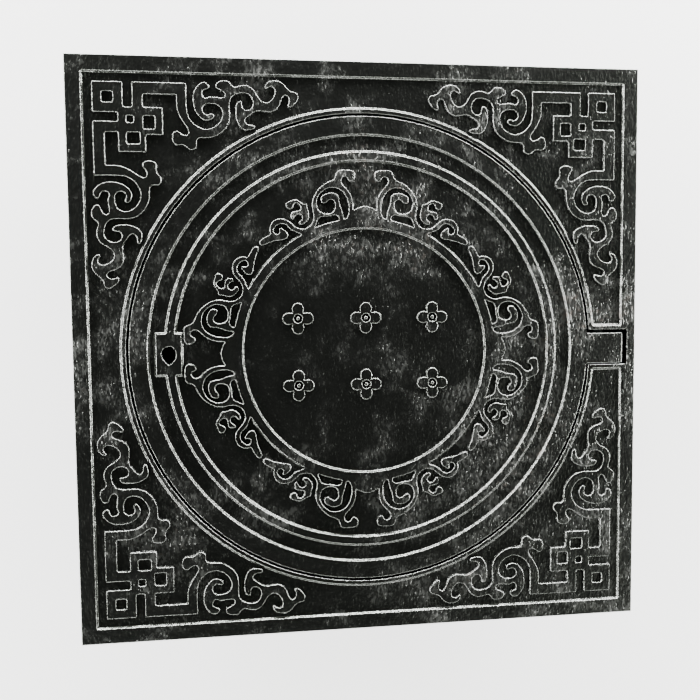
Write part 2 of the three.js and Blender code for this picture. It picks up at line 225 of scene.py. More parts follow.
camera_data = bpy.data.cameras.new("camera")
camera_data.lens = CAMERA_LENS
camera_data.sensor_width = SENSOR_WIDTH
camera = link("camera", camera_data)
camera_right = CAMERA_VIEW.cross(CAMERA_UP).normalized()
camera_up = camera_right.cross(CAMERA_VIEW).normalized()
turn = Matrix((camera_right, camera_up, -CAMERA_VIEW.normalized())).transposed()
camera.matrix_world = Matrix.Translation(CAMERA_PLACE) @ turn.to_4x4()
bpy.context.scene.camera = camera


# ---- Frame casting ----
# The square frame is one sand casting in ductile iron, dipped in black bitumen paint. Traffic has
# polished the paint on top, with cloudy, grainy and rusted patches. It is matt on the sides and below,
# where its colour is also painted far darker than on top: painted shade that keeps those faces dark.
EDGE_ROUND = 1.4 * MM
EDGE_ANGLE = math.radians(28)  # the least turn between two faces that makes a sharp edge
FLAT_ANGLE = math.radians(0.6)
BRUSHED = (1.0, 0.4, 1.0)  # the grain of the paint is drawn out along Y
WORN_DEPTH = 6 * MM  # below the highest point, where the polished paint ends
LOWEST_ROUND = cad_box[1].z - 13 * MM  # the edges below this height are left as the mould made them


def painted_iron_finish():
    """Black paint polished by traffic: dark like graphite, and no brighter at a low angle."""
    iron = Finish("painted_iron")
    cloud = iron.noise(0.045, detail=4.0, roughness=0.65, distortion=0.3)
    drift = iron.noise(0.17, detail=3.0, distortion=0.4)
    coarse = iron.noise(0.0085, detail=3.0, roughness=0.65)
    iron.place = iron.add("ShaderNodeVectorMath", {"operation": "MULTIPLY"}, {0: iron.place, 1: BRUSHED})
    sand = iron.noise(0.0026, detail=1.0, roughness=0.6).step(0.54, 0.72)
    rusty = (coarse * 0.5 + drift * 0.5).step(0.60, 0.72)
    patchy = (cloud * 0.55 + drift * 0.45).step(0.46, 0.66)
    pits = iron.noise(0.0034, detail=2.0, roughness=0.7)
    streaks = pits.step(0.48, 0.62)
    paint = iron.blend(patchy, rgb(0.096, 0.100, 0.093), rgb(0.106, 0.108, 0.103))
    colour = iron.blend(rusty * 0.5, paint, rgb(0.111, 0.083, 0.070))
    rough = 0.195 + patchy * (streaks * 0.22 + 0.07) + coarse * 0.05 + rusty * 0.06
    waves = iron.bump(cloud, 0.8 * MM)
    grains = sand * (patchy * 0.6 + 0.4) * 0.4 + coarse * 0.25 + pits * 1.0
    skin = iron.add("ShaderNodeBump", {}, {"Height": grains, "Distance": 0.75 * MM, "Normal": waves})
    return iron.surface(Base_Color=colour, Roughness=rough, Normal=skin, Metallic=1.0,
                        Specular_Tint=rgb(0.0, 0.0, 0.0))


painted_iron = painted_iron_finish()


def shaded_matt_paint_finish():
    """The same paint on the sides and the underside, where no traffic has polished it. Its colour is also
    painted far darker than the paint on top, as painted shade.
    """
    matt = Finish("shaded_matt_paint")
    bloom = matt.noise(0.06, detail=4.0, roughness=0.6)
    rust = matt.noise(0.028, detail=4.0, roughness=0.7).step(0.60, 0.74)
    sand = matt.noise(0.0034, detail=2.0, roughness=0.7)
    # Painted shade: near-black colours, far darker than the paint on top, so the sides and underside stay
    # dark.
    paint = matt.blend(bloom.step(0.4, 0.7), rgb(0.0060, 0.0062, 0.0058), rgb(0.0110, 0.0108, 0.0102))
    return matt.surface(
        Base_Color=matt.blend(rust * 0.6, paint, rgb(0.020, 0.009, 0.005)),
        Roughness=0.42 + bloom * 0.2 + rust * 0.15, Normal=matt.bump(sand, 0.35 * MM), Metallic=1.0,
        Specular_Tint=rgb(0.35, 0.35, 0.35))


shaded_matt_paint = shaded_matt_paint_finish()


def weigh_normals(piece):
    """Large faces keep their own direction, so that flats look flat beside rounded edges."""
    piece.data.shade_smooth()
    weigh = piece.modifiers.new("even_shading", "WEIGHTED_NORMAL")
    weigh.weight = 60
    weigh.keep_sharp = True


def finish_copy(node, name, material, rounding, low_material=None, lowest_round=-1.0):
    """A copy of a CAD node with its facets merged and its edges rounded, which stands for it.
    Faces deeper than the worn top get the low material, and edges below lowest_round stay sharp."""
    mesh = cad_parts[node].data.copy()
    shape = bmesh.new()
    shape.from_mesh(mesh)
    bmesh.ops.remove_doubles(shape, verts=shape.verts, dist=rounding / 3)
    bmesh.ops.dissolve_limit(shape, angle_limit=FLAT_ANGLE, verts=shape.verts, edges=shape.edges)
    weight = shape.edges.layers.float.new("bevel_weight_edge")
    for edge in shape.edges:
        sharp = edge.is_manifold and edge.calc_face_angle() > EDGE_ANGLE
        rounded = sharp and min(corner.co.z for corner in edge.verts) > lowest_round
        edge[weight] = float(rounded)
        edge.smooth = rounded or not sharp
    shape.to_mesh(mesh)
    shape.free()
    mesh.materials.clear()
    mesh.materials.append(material)
    if low_material:
        mesh.materials.append(low_material)
        for polygon in mesh.polygons:
            polygon.material_index = int(polygon.center.z < cad_box[1].z - WORN_DEPTH)
    piece = link(name, mesh)
    bevel = piece.modifiers.new("soft_edges", "BEVEL")
    bevel.material = 0
    bevel.width = rounding
    bevel.segments = 3
    bevel.limit_method = "WEIGHT"
    bevel.miter_outer = "MITER_ARC"
    bevel.use_clamp_overlap = False
    weigh_normals(piece)
    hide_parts(node)
    return piece


# The frame's sides and underside take the matt paint, whose darker colour is painted shade.
frame_casting = finish_copy("frame", "frame_casting", painted_iron, EDGE_ROUND, shaded_matt_paint, LOWEST_ROUND)
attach(frame_casting, "base")

# ---- Corner scrolls of the frame ----
# A knotted fret with two scrolled branches is cast in each corner of the frame. Its sides lean for
# the mould, its edges are worn round, and the iron under it is the frame's own.
RAISED = 4.0  # of the top above the field, in millimetres, like every size of an outline
TRACE_STEP = 1.25
# The side of a raised shape, from the field up: (distance inside the outline, height).
SIDE_PROFILE = [(-1.2, -0.5), (-0.9, 0.2), (-0.5, 1.2), (0.0, 2.7), (0.5, 3.5), (1.4, RAISED)]
ROOM_SHARE = 0.8  # how much of a narrow part or gap the two sides may fill
WANDER = 0.25
WANDER_LENGTH = 11
STILL_ENDS = 8  # points over which the wander of an open line fades out

# Distances from the two outer sides of the frame. One half of the outline, from the diagonal and back.
FRET = [(104, 104), (127, 104), (127, 67.5), (101, 67.5), (101, 50.5), (145, 50.5)]
BRANCH = [
    (145, 50.5), (144.5, 62), (146, 72), (151, 83), (157, 92), (160.5, 99), (157.5, 104), (151, 102),
    (145, 98), (140, 100), (138, 107), (139.5, 114), (144, 117.5), (150, 116.8), (155, 118),
    (160, 122.5), (166, 123), (171, 119), (171, 112), (173.5, 107.8), (181, 107.2), (190, 106.5),
    (199, 103), (208, 96.5), (214, 87.5), (216.3, 77), (216, 66), (216.5, 57), (220.5, 50.5),
    (228, 47), (237, 46.3), (243.5, 50), (247, 58.5), (245, 66), (239, 69), (234, 67), (232.5, 61),
    (232, 57.3), (229.5, 56.5), (226, 58.8), (223.8, 64), (223.2, 72), (224, 80), (227, 88),
    (231, 93.5), (236, 96), (243, 95.5), (249, 93.5), (250, 90), (245, 88.7), (239.5, 87.5),
    (236, 83.5), (238.5, 79), (243.5, 75.5), (249, 71.3), (256, 69.8), (264, 70.8), (272, 71),
    (279, 67.5), (283.5, 61), (286.5, 53), (290, 48.2), (294, 49), (296, 54), (295, 59.5), (294, 63),
    (298, 64), (303, 61), (308, 54), (309.5, 48.5), (306, 44), (299, 42.5), (294.5, 39), (289.5, 33),
    (282, 28.8), (274, 28.5), (267.5, 31), (263.5, 36), (263.3, 41),
]
LOWER_CURL = [
    (263.3, 41), (266, 40.5), (269, 37.5), (273, 36.5), (276.5, 40), (276.8, 46), (273.5, 53),
    (267, 58), (260, 56.8), (254.5, 51), (250.5, 44), (245, 38.5), (237, 35.5), (229, 36.5),
    (223, 38.7), (218.5, 35.5), (215, 31), (209, 29.7), (202, 31.5), (197.5, 35.5), (198, 40.5),
    (203, 42.8), (208, 45.5), (210, 49.5), (207, 52.8), (199, 52.5), (190, 51.5), (184.5, 54),
    (180.5, 51.5), (179.3, 46.5), (182, 43), (187, 42), (189.3, 38.5), (186.5, 34.5), (181, 32.5),
    (175, 36), (170, 42), (167.3, 49), (166.5, 58), (168, 67), (171.5, 75), (177.5, 81.5), (184, 84),
    (190, 82.7), (194.7, 79.5), (194.5, 75.5), (190.5, 73.7),
]
RETURN_CURL = [
    (190.5, 73.7), (187, 75.8), (182.5, 74.8), (179.7, 70.5), (180.3, 65.5), (184.5, 62), (191, 61.3),
    (198, 62.6), (203, 66), (205.7, 73), (204, 81.5), (198.5, 89), (190.5, 93.8), (182, 95),
    (173, 92), (165.5, 86), (160.5, 78), (158.7, 68), (158.5, 50),
]
FRET_BACK = [(158.5, 50), (158.5, 34.5), (86.5, 34.5), (86.5, 67.5), (75, 67.5), (75, 34.5), (34.5, 34.5)]
FRET_WINDOWS = [(47.5, 61.5, 47.5, 61.5), (101, 116, 79, 96), (79, 96, 101, 116), (79, 88, 79, 88)]


def straight(*points):
    """Points along straight runs, a step apart, with every corner kept."""
    run = [Vector(points[0])]
    for start, end in zip(points, points[1:]):
        start, end = Vector(start), Vector(end)
        count = max(1, round((end - start).length / TRACE_STEP))
        run += [start.lerp(end, i / count) for i in range(1, count + 1)]
    return run


def curved(*points):
    """Points along a smooth curve through these, a step apart."""
    knots = [Vector(p) for p in points]
    knots = [2 * knots[0] - knots[1], *knots, 2 * knots[-1] - knots[-2]]
    run = [knots[1]]
    for a, b, c, d in zip(knots, knots[1:], knots[2:], knots[3:]):
        count = max(1, round((c - b).length / TRACE_STEP))
        for i in range(1, count + 1):
            t = i / count
            run.append(0.5 * (2 * b + (c - a) * t + (2 * a - 5 * b + 4 * c - d) * t * t
                              + (3 * b - a - 3 * c + d) * t ** 3))
    return run


def arc(radius, start, end):
    """Points on a circle about the origin, a step apart. The angles are in degrees."""
    count = max(1, round(abs(math.radians(end - start)) * radius / TRACE_STEP))
    angles = [math.radians(start + (end - start) * i / count) for i in range(count + 1)]
    return [Vector((radius * math.cos(angle), radius * math.sin(angle))) for angle in angles]


def chained(*runs):
    """Runs that meet end to end, as one line."""
    line = [runs[0][0]]
    for run in runs:
        line += run[1:] if (run[0] - line[-1]).length < TRACE_STEP / 2 else run
    return line


def swapped(run):
    """The mirror image of a run in the diagonal, drawn the other way."""
    return [Vector((point.y, point.x)) for point in reversed(run)]


def worn(line, closed, seed):
    """The line with its corners rounded and a small wander, as a sand mould leaves it."""
    points = np.array([tuple(point) for point in line])
    if closed:
        points = points[:-1] if np.hypot(*(points[0] - points[-1])) < 0.01 else points
    inside = slice(None) if closed else slice(3, -3)
    for i, (x, y) in enumerate(points.copy()):
        away = noise.noise_vector(Vector((x / WANDER_LENGTH, y / WANDER_LENGTH, seed)))
        hold = 1.0 if closed else min(1.0, i / STILL_ENDS, (len(points) - 1 - i) / STILL_ENDS)
        points[i] += np.array(away[:2]) * WANDER * hold
    for _ in range(2):
        middle = (np.roll(points, 1, axis=0) + np.roll(points, -1, axis=0)) / 2
        points[inside] = (points[inside] + middle[inside]) / 2
    return points


def inward(points, closed):
    """The direction to the left of the line at each point, which is into the raised shape."""
    ahead = np.roll(points, -1, axis=0) - np.roll(points, 1, axis=0)
    if not closed:
        ahead[0] = points[0] * 0
        ahead[-1] = points[-1] * 0
    left = np.stack([-ahead[:, 1], ahead[:, 0]], axis=1)
    if not closed:
        for end, near in ((0, 1), (-1, -2)):
            outward = points[end] / np.hypot(*points[end])
            left[end] = outward * np.sign(outward @ left[near])
    return left / np.hypot(left[:, 0], left[:, 1])[:, None]


def room(points, directions, others):
    """How far each point can go along its direction before it meets another part of the line."""
    apart = others[None, :, :] - points[:, None, :]
    along = np.einsum("ijk,ik->ij", apart, directions)
    radius = (apart ** 2).sum(axis=2) / np.maximum(2 * along, 1e-9)
    return ROOM_SHARE * np.where(along > 1e-6, radius, 1e9).min(axis=1)


def raised_shape(name, lines, field, top=RAISED):
    """A raised shape on a field. Each line is (points, closed); the shape is on the line's left.
    Open lines follow one another, so their gaps are the shape's open ends."""
    everything = np.concatenate([points for points, _ in lines])
    insets = [inset for inset, _ in SIDE_PROFILE]
    heights = [height * (top / RAISED if height > 0 else 1.0) for _, height in SIDE_PROFILE]
    vertices, faces = [], []
    rims = {"bottom": [], "top": []}
    for points, closed in lines:
        directions = inward(points, closed)
        space = room(points, directions, everything)
        outside = room(points, -directions, everything)
        rings = []
        for inset, height in zip(insets, heights):
            if inset > 0:
                moved = np.minimum(inset, space)
                level = np.interp(moved, insets, heights)
            else:
                moved = -np.minimum(-inset, outside)
                level = np.full(len(points), height)
            place = points + directions * moved[:, None]
            rings.append(range(len(vertices), len(vertices) + len(points)))
            vertices += [(x * MM, y * MM, (field + z) * MM) for (x, y), z in zip(place, level)]
        count = len(points)
        for lower, upper in zip(rings, rings[1:]):
            for i in range(count if closed else count - 1):
                j = (i + 1) % count
                faces.append((lower[i], lower[j], upper[j], upper[i]))
        rims["bottom"].append((rings[0], closed))
        rims["top"].append((rings[-1], closed))
    for side, loops in rims.items():
        outline = [i for ring, closed in loops if not closed for i in ring]
        order = ([outline] if outline else []) + [list(ring) for ring, closed in loops if closed]
        flat = [i for loop in order for i in loop]
        corners = [[Vector((vertices[i][0], vertices[i][1], 0)) for i in loop] for loop in order]
        for a, b, c in tessellate_polygon(corners):
            pa, pb, pc = (Vector(vertices[flat[i]]) for i in (a, b, c))
            up = (pb - pa).cross(pc - pa).z > 0
            face = (flat[a], flat[b], flat[c])
            faces.append(face if up == (side == "top") else face[::-1])
    mesh = bpy.data.meshes.new(name)
    mesh.from_pydata(vertices, [], faces)
    mesh.validate()
    return link(name, mesh)


def settle(piece):
    """Works the modifiers of a piece into its mesh."""
    seen = piece.evaluated_get(bpy.context.evaluated_depsgraph_get())
    mesh = bpy.data.meshes.new_from_object(seen)
    piece.modifiers.clear()
    piece.data = mesh


def new_tree(name, sockets):
    """An empty Geometry Nodes tree with these named inputs, its nodes and its input values."""
    tree = bpy.data.node_groups.new(name, "GeometryNodeTree")
    tree.interface.new_socket("Geometry", in_out="INPUT", socket_type="NodeSocketGeometry")
    for label, kind in sockets.items():
        tree.interface.new_socket(label, in_out="INPUT", socket_type=kind)
    tree.interface.new_socket("Geometry", in_out="OUTPUT", socket_type="NodeSocketGeometry")
    nodes = Nodes(tree)
    return tree, nodes, nodes.add("NodeGroupInput")


def grow(piece, tree, **sizes):
    """Runs a Geometry Nodes tree on a piece with these inputs, and keeps the result as its mesh."""
    modifier = piece.modifiers.new(tree.name, "NODES")
    modifier.node_group = tree
    for item in tree.interface.items_tree:
        if item.in_out == "INPUT" and item.name in sizes:
            modifier[item.identifier] = sizes[item.name]
    settle(piece)


def turning_tree():
    """Repeats a piece round the upright axis, joins the copies where they touch, and paints them."""
    tree, nodes, given = new_tree("repeat_round", {
        "Count": "NodeSocketInt", "Weld": "NodeSocketFloat", "Material": "NodeSocketMaterial"})
    count = given.other("Count")
    points = nodes.add("GeometryNodePoints", {}, {"Count": count})
    angle = nodes.add("GeometryNodeInputIndex") * (2 * math.pi) / count
    turned_by = nodes.add("ShaderNodeCombineXYZ", {}, {"Z": angle})
    copies = nodes.add("GeometryNodeInstanceOnPoints", {},
                       {"Points": points, "Instance": given.other("Geometry"), "Rotation": turned_by})
    real = nodes.add("GeometryNodeRealizeInstances", {}, {"Geometry": copies})
    welded = nodes.add("GeometryNodeMergeByDistance", {},
                       {"Geometry": real, "Distance": given.other("Weld")})
    painted = nodes.add("GeometryNodeSetMaterial", {},
                        {"Geometry": welded, "Material": given.other("Material")})
    nodes.add("NodeGroupOutput", {}, {"Geometry": painted})
    return tree


repeat_round = turning_tree()


def corner_outline():
    """The closed outline of the corner's fret and branches, and its windows."""
    half = chained(straight(*FRET), curved(*BRANCH), curved(*LOWER_CURL), curved(*RETURN_CURL),
                   straight(*FRET_BACK))
    whole = chained(half, swapped(half))
    windows = [straight((a, c), (b, c), (b, d), (a, d), (a, c)) for a, b, c, d in FRET_WINDOWS]
    return whole, windows


def area(points):
    """The area inside a closed line, above 0 where it runs anticlockwise."""
    x, y = points[:, 0], points[:, 1]
    return float((x * np.roll(y, -1) - y * np.roll(x, -1)).sum() / 2)


side = (cad_box[1].x - cad_box[0].x) / MM
field_height = cad_box[1].z / MM - RAISED
outer_line, window_lines = corner_outline()
corner_lines = []
for number, line in enumerate([outer_line, *window_lines]):
    points = side / 2 - worn(line, True, seed=number)
    if (area(points) > 0) != (number == 0):
        points = points[::-1].copy()
    corner_lines.append((points, True))
corner_scrolls = raised_shape("corner_scrolls", corner_lines, field_height)
grow(corner_scrolls, repeat_round, Count=4, Weld=0.0, Material=painted_iron)
weigh_normals(corner_scrolls)
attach(corner_scrolls, "base")

# ---- Seat gasket ----
# A moulded rubber ring lies on the ledge. The rim of the cover presses on its two ribs, which keep
# the cover from rattling.


def turned_mesh(name, profile, centre, material, steps):
    """A closed profile of (radius, height) in metres, turned about the upright axis through centre."""
    shape = bmesh.new()
    rows = []
    for i in range(steps):
        angle = 2 * math.pi * i / steps
        row = []
        for radius, height in profile:
            spot = Vector((radius * math.cos(angle), radius * math.sin(angle), height))
            row.append(shape.verts.new(centre + spot))
        rows.append(row)
    for row, following in zip(rows, rows[1:] + rows[:1]):
        for j in range(len(profile)):
            k = (j + 1) % len(profile)
            shape.faces.new((row[j], following[j], following[k], row[k]))
    bmesh.ops.remove_doubles(shape, verts=shape.verts, dist=0.001 * MM)
    bmesh.ops.recalc_face_normals(shape, faces=shape.faces)
    mesh = bpy.data.meshes.new(name)
    shape.to_mesh(mesh)
    shape.free()
    mesh.materials.append(material)
    piece = link(name, mesh)
    weigh_normals(piece)
    return piece


def rubber_finish():
    """Black rubber with a grey bloom."""
    rubber = Finish("black_rubber")
    bloom = rubber.noise(0.025, detail=3.0)
    grain = rubber.noise(0.0012, detail=1.0)
    return rubber.surface(
        Base_Color=rubber.blend(bloom.step(0.45, 0.7), rgb(0.012, 0.012, 0.013), rgb(0.035, 0.034, 0.032)),
        Roughness=0.72 + bloom * 0.15, Normal=rubber.bump(grain, 0.08 * MM))


black_rubber = rubber_finish()
gasket_low, gasket_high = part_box("seat_gasket")
gasket_outer = gasket_high.x
gasket_wide = 13 * MM
gasket_deep = gasket_high.z - gasket_low.z
gasket_corner = 0.4 * MM
rib_rise = 1.1 * MM
rib_half = 2.2 * MM
rib_steps = 5
gasket_profile = [(0, gasket_corner), (gasket_corner, 0), (gasket_wide - gasket_corner, 0),
                  (gasket_wide, gasket_corner), (gasket_wide, gasket_deep - rib_rise)]
for rib_centre in (0.74, 0.26):
    for step in range(rib_steps + 1):
        lean = math.pi * step / rib_steps
        gasket_profile.append((gasket_wide * rib_centre + rib_half * math.cos(lean),
                               gasket_deep - rib_rise + rib_rise * math.sin(lean)))
gasket_profile.append((0, gasket_deep - rib_rise))
gasket_profile = [(gasket_outer - gasket_wide + across, up) for across, up in gasket_profile]
gasket = turned_mesh("seat_ring", gasket_profile, Vector((0, 0, gasket_low.z)), black_rubber, steps=144)
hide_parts("seat_gasket")
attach(gasket, "base")

# ---- Hinge pin and split pins ----
# The hinge pin is zinc-coated bar, chamfered and cross-drilled at both ends. A split pin of bent
# wire through each hole keeps it in the cheeks of the pocket.
LEG_GAP = 0.2 * MM
EYE_STAND = 1.0 * MM  # of the eye off the pin
EYE_ARC = 230  # degrees
EYE_STEPS = 8
TAIL_BEND = 2.6 * MM


def galvanised_finish():
    """Dull zinc with a fine spangle and brownish stains."""
    zinc = Finish("galvanised_steel")
    spangle = zinc.add("ShaderNodeTexVoronoi", {"feature": "F1"}, {"Vector": zinc.place, "Scale": 260.0})
    bright = spangle.other("Distance")
    stain = zinc.noise(0.012, detail=3.0)
    grey = zinc.blend(bright, rgb(0.075, 0.078, 0.081), rgb(0.125, 0.128, 0.132))
    return zinc.surface(
        Base_Color=zinc.blend(stain.step(0.55, 0.75), grey, rgb(0.070, 0.058, 0.046)),
        Metallic=0.9, Roughness=0.34 + stain * 0.25, Normal=zinc.bump(stain, 0.10 * MM))


galvanised_steel = galvanised_finish()
pin_piece = finish_copy("hinge_pin", "pin_bar", galvanised_steel, 0.25 * MM)
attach(pin_piece, "base")


def split_pin(node, name):
    """One bent wire: two legs side by side through the pin, spread at the ends, joined by an eye."""
    low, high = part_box(node)
    pin_low, pin_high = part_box("hinge_pin")
    pin_radius = (pin_high.x - pin_low.x) / 2
    axis_x = (pin_low.x + pin_high.x) / 2
    wire = (high.y - low.y) / 2
    middle = Vector(((low.x + high.x) / 2, (low.y + high.y) / 2, (low.z + high.z) / 2))
    leg = wire + LEG_GAP / 2
    eye = (high.x - axis_x - pin_radius - EYE_STAND - wire) / 2
    eye_x = axis_x + pin_radius + EYE_STAND + eye
    spread = (high.z - low.z) / 2 - wire
    tail = low.x + wire * 0.6
    upper = [(tail, spread), (tail + TAIL_BEND, spread * 0.5), (axis_x - pin_radius, leg), (axis_x, leg),
             (axis_x + pin_radius, leg)]
    round_eye = []
    for i in range(EYE_STEPS + 1):
        angle = math.radians(EYE_ARC / 2 - EYE_ARC / EYE_STEPS * i)
        round_eye.append((eye_x + eye * math.cos(angle), eye * math.sin(angle)))
    lower = [(x, -z) for x, z in reversed(upper)]
    curve = bpy.data.curves.new(name, "CURVE")
    curve.dimensions = "3D"
    curve.bevel_depth = wire
    curve.bevel_resolution = 2
    curve.use_fill_caps = True
    spline = curve.splines.new("NURBS")
    route = upper + round_eye + lower
    spline.points.add(len(route) - 1)
    for spot, (x, z) in zip(spline.points, route):
        spot.co = (x, middle.y, middle.z + z, 1)
    spline.use_endpoint_u = True
    spline.order_u = 3
    spline.resolution_u = 3
    curve_piece = link(name + "_line", curve)
    seen = curve_piece.evaluated_get(bpy.context.evaluated_depsgraph_get())
    mesh = bpy.data.meshes.new_from_object(seen)
    bpy.data.objects.remove(curve_piece)
    mesh.materials.clear()
    mesh.materials.append(galvanised_steel)
    mesh.shade_smooth()
    piece = link(name, mesh)
    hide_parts(node)
    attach(piece, "base")


split_pin("split_pin_front", "wire_pin_front")
split_pin("split_pin_rear", "wire_pin_rear")

# ---- Cover casting ----
# The round cover is cast like the frame: ribs below, raised bands and a keyhole pad above, and a
# tongue that reaches over the hinge pin. Rough sand marks and the same black paint are on it.
# The cover's sides and underside take the matt paint, whose darker colour is painted shade.
cover_casting = finish_copy("cover", "cover_casting", painted_iron, EDGE_ROUND, shaded_matt_paint, LOWEST_ROUND)
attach(cover_casting, "lid")

# ---- Ring of scrolls on the cover ----
# Four groups of scrolls stand on the inner band and join it. Each group is a low arch between two
# curling branches, and a leaf lies loose beside each branch.
BAND_INNER = 172.6
BAND_OUTER = 185.7
PROUD = 0.3  # of the ring over the band that it is cast with
ARCH = [(196.8, -16.5), (200.5, -10), (203, 0), (200.5, 10), (196.8, 16.5)]
RING_BRANCH = [
    (196.8, 16.5), (205, 16.2), (213, 17.8), (220.5, 21), (227, 26), (232, 31), (237.5, 33),
    (242, 31), (243, 28), (241.5, 24.5), (238, 23), (236, 20.5), (237.5, 16.5), (241, 14), (246, 13),
    (250, 14.5), (252, 19), (252.5, 26), (252.5, 33), (251.5, 37), (249, 39.5), (243, 41.5),
    (239, 44), (237.2, 48.5), (235, 53.5), (230.5, 60), (225, 66), (218, 70.5), (210, 73.8),
    (202, 74.7), (194, 73.2), (187, 72.3), (181, 73.8), (175.5, 77.5), (172.2, 82.5), (171.3, 88),
    (172.5, 94), (175.5, 99), (179.5, 103.5), (183.5, 109), (185.3, 116), (184.5, 123),
    (181.5, 128.3), (176, 132), (170, 133.5), (166, 133), (164.3, 131.5),
]
RING_TAIL = [
    (164.3, 131.5), (161.5, 136.5), (158.5, 142), (155.5, 146), (152.5, 147.7), (149, 146.8),
    (148, 143.8), (149.5, 139), (152, 133), (154, 126), (155.3, 119), (156.3, 112.5), (158.5, 108.7),
    (162, 107.5), (166, 108.7), (169.5, 112.5), (172.3, 117), (172, 120.3), (168.5, 120),
    (164.8, 119.7), (163.5, 122.5), (165, 126.3), (169, 127.7), (173.5, 125), (177, 120.5),
    (178, 115), (175.8, 110), (171, 105.3), (167.5, 100), (165.6, 94.5), (163.2, 88.6),
]
EYE_EDGE = [
    (172.8, 70.3), (179, 67.8), (184.5, 65.8), (187.3, 61.5), (188.2, 54), (188.5, 48.5), (190, 43.5),
    (188.8, 39), (186.5, 36.7), (183.5, 36.5),
]
SPIRAL_OUT = [
    (184.3, 29.2), (187, 25.5), (193, 23.4), (201, 23), (209, 24.3), (216, 27), (222, 31.5),
    (226, 37.5), (227.5, 44.5), (226.8, 51.5), (223.5, 58), (217.5, 63.8), (210, 67.2), (202, 66.8),
    (196, 64), (192.8, 58.5), (192.3, 51.5), (194, 46), (198, 43), (204, 42), (209, 43),
    (211.5, 46.5), (210.5, 51), (207, 54.5), (206, 58.5), (207, 61.2),
]
SPIRAL_BACK = [
    (207, 61.2), (212, 62.3), (216, 60.5), (219, 56), (221, 50), (221, 44), (219, 39.5),
    (215.5, 36.7), (209, 36), (202, 34.2), (195.5, 31.8), (189.5, 30.5), (184.3, 29.2),
]
LEAF_OUT = [
    (196.8, 90.3), (200.5, 90.2), (204.3, 92), (206.5, 95.5), (205.3, 99), (200.8, 100.3),
    (197.8, 102.5), (198, 106.5), (200.8, 110), (204.8, 111), (207.8, 108.3), (209.5, 103.5),
    (211.3, 98.5), (210.5, 93.5), (207.3, 89), (205.3, 85), (204.8, 80.7),
]
LEAF_BACK = [
    (204.8, 80.7), (199, 80), (192, 78), (186.5, 78.3), (181.5, 81.3), (177.8, 85), (176.6, 89.5),
    (178.5, 93), (181.5, 92.5), (183.5, 88.8), (187.5, 87.8), (190.8, 90.8), (191, 94.5),
    (187.5, 97.7), (183.3, 100.3), (183.7, 103.2), (188.5, 104.3), (193.5, 103), (195.3, 98.5),
    (196, 94), (196.8, 90.3),
]


def degrees_of(point):
    """The direction of a point from the origin, in degrees."""
    return math.degrees(math.atan2(point[1], point[0]))


def flipped(run):
    """The mirror image of a run in the group's middle line, drawn the other way."""
    return [Vector((point.x, -point.y)) for point in reversed(run)]


def ring_lines():
    """The lines of one quarter of the ring: its inner edge, its outer edge, recesses and leaves."""
    band_end = degrees_of(RING_TAIL[-1])
    branch = chained(curved(*RING_BRANCH), curved(*RING_TAIL), arc(BAND_OUTER, band_end, 45))
    outer = chained(flipped(branch), curved(*ARCH), branch)
    eye_start, eye_end = degrees_of(EYE_EDGE[-1]), degrees_of(EYE_EDGE[0])
    eye = chained(curved(*EYE_EDGE), arc(BAND_OUTER + 1, eye_start, eye_end))
    spiral = chained(curved(*SPIRAL_OUT), curved(*SPIRAL_BACK))
    leaf = chained(curved(*LEAF_OUT), curved(*LEAF_BACK))
    lines = [(worn(arc(BAND_INNER, 45, -45), False, 11), False), (worn(outer, False, 12), False)]
    for number, (run, solid) in enumerate([(eye, False), (spiral, False), (leaf, True)]):
        for part in (run, flipped(run)):
            points = worn(part, True, seed=20 + number)
            if (area(points) > 0) != solid:
                points = points[::-1].copy()
            lines.append((points, True))
    return lines


ring_scrolls = raised_shape("ring_scrolls", ring_lines(), field_height, top=RAISED + PROUD)
grow(ring_scrolls, repeat_round, Count=4, Weld=0.02 * MM, Material=painted_iron)
weigh_normals(ring_scrolls)
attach(ring_scrolls, "lid")

# ---- Rosettes on the centre of the cover ----
# Six small rosettes of four leaves and a boss are cast on the middle disc, in two rows of three.
ROSETTE_SPREAD = (191.0, 94.0)
ROSETTE_RADIUS = 22.0
ROSETTE_WAIST = 8.5
ROSETTE_RAISED = 3.2
ROSETTE_STEPS = 132


def rosette_lines():
    """The outline of four leaves about a ring, and the ring's recess with a boss in it."""
    leaves = []
    for i in range(ROSETTE_STEPS):
        angle = 2 * math.pi * i / ROSETTE_STEPS
        lobe = abs(math.cos(2 * angle)) ** 0.7
        reach = ROSETTE_WAIST + (ROSETTE_RADIUS - ROSETTE_WAIST) * lobe
        leaves.append(Vector((math.cos(angle), math.sin(angle))) * reach)
    lines = [(worn(leaves, True, 31), True)]
    for radius, steps, solid in ((6.0, 30, False), (2.6, 14, True)):
        angles = [2 * math.pi * i / steps for i in range(steps)]
        circle = np.array([(radius * math.cos(angle), radius * math.sin(angle)) for angle in angles])
        lines.append((circle if solid else circle[::-1].copy(), True))
    return lines


def grid_tree():
    """Repeats a piece on a grid of points, and paints it."""
    tree, nodes, given = new_tree("repeat_grid", {
        "Length": "NodeSocketFloat", "Width": "NodeSocketFloat", "Columns": "NodeSocketInt",
        "Rows": "NodeSocketInt", "Material": "NodeSocketMaterial"})
    sizes = {"Size X": given.other("Length"), "Size Y": given.other("Width"),
             "Vertices X": given.other("Columns"), "Vertices Y": given.other("Rows")}
    points = nodes.add("GeometryNodeMeshGrid", {}, sizes)
    copies = nodes.add("GeometryNodeInstanceOnPoints", {},
                       {"Points": points, "Instance": given.other("Geometry")})
    real = nodes.add("GeometryNodeRealizeInstances", {}, {"Geometry": copies})
    painted = nodes.add("GeometryNodeSetMaterial", {},
                        {"Geometry": real, "Material": given.other("Material")})
    nodes.add("NodeGroupOutput", {}, {"Geometry": painted})
    return tree


rosettes = raised_shape("centre_rosettes", rosette_lines(), field_height, top=ROSETTE_RAISED)
grow(rosettes, grid_tree(), Length=ROSETTE_SPREAD[0] * MM, Width=ROSETTE_SPREAD[1] * MM, Columns=3, Rows=2,
     Material=painted_iron)
weigh_normals(rosettes)
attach(rosettes, "lid")
